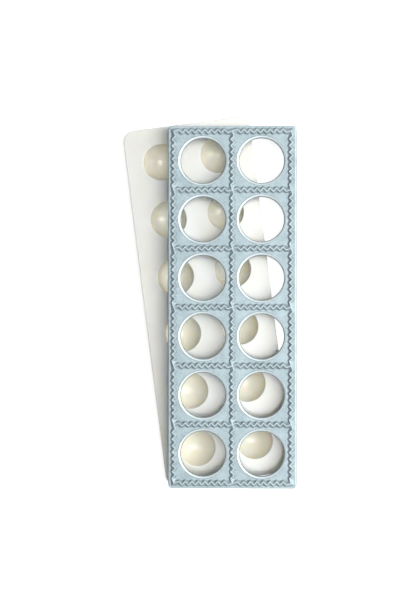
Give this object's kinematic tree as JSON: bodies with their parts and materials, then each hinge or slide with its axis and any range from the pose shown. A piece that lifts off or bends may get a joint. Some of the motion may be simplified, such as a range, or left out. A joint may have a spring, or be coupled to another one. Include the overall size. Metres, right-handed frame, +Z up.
{
  "type": "ravioli mold",
  "caption": "Ravioli mold: a cast plate of square cells with round holes and zigzag cutting ridges, lying on the plastic press plate whose domes push the dough into the holes.",
  "frame": {"origin": "on the table that the domes stand on, under the middle of the pair's outline", "axes": "+Z up, away from the table; +Y along the mold plate's length; +X across the mold plate, away from the side on which the press plate sticks out"},
  "size_m": [0.1534, 0.3264, 0.0339],
  "materials": {
    "cast_aluminium": "satin casting with bright bevels round the holes",
    "moulded_plastic": "smooth warm white moulding"
  },
  "bodies": {
    "root": {"mold_plate": "cast_aluminium", "press_plate": "moulded_plastic"}
  },
  "joints": []
}
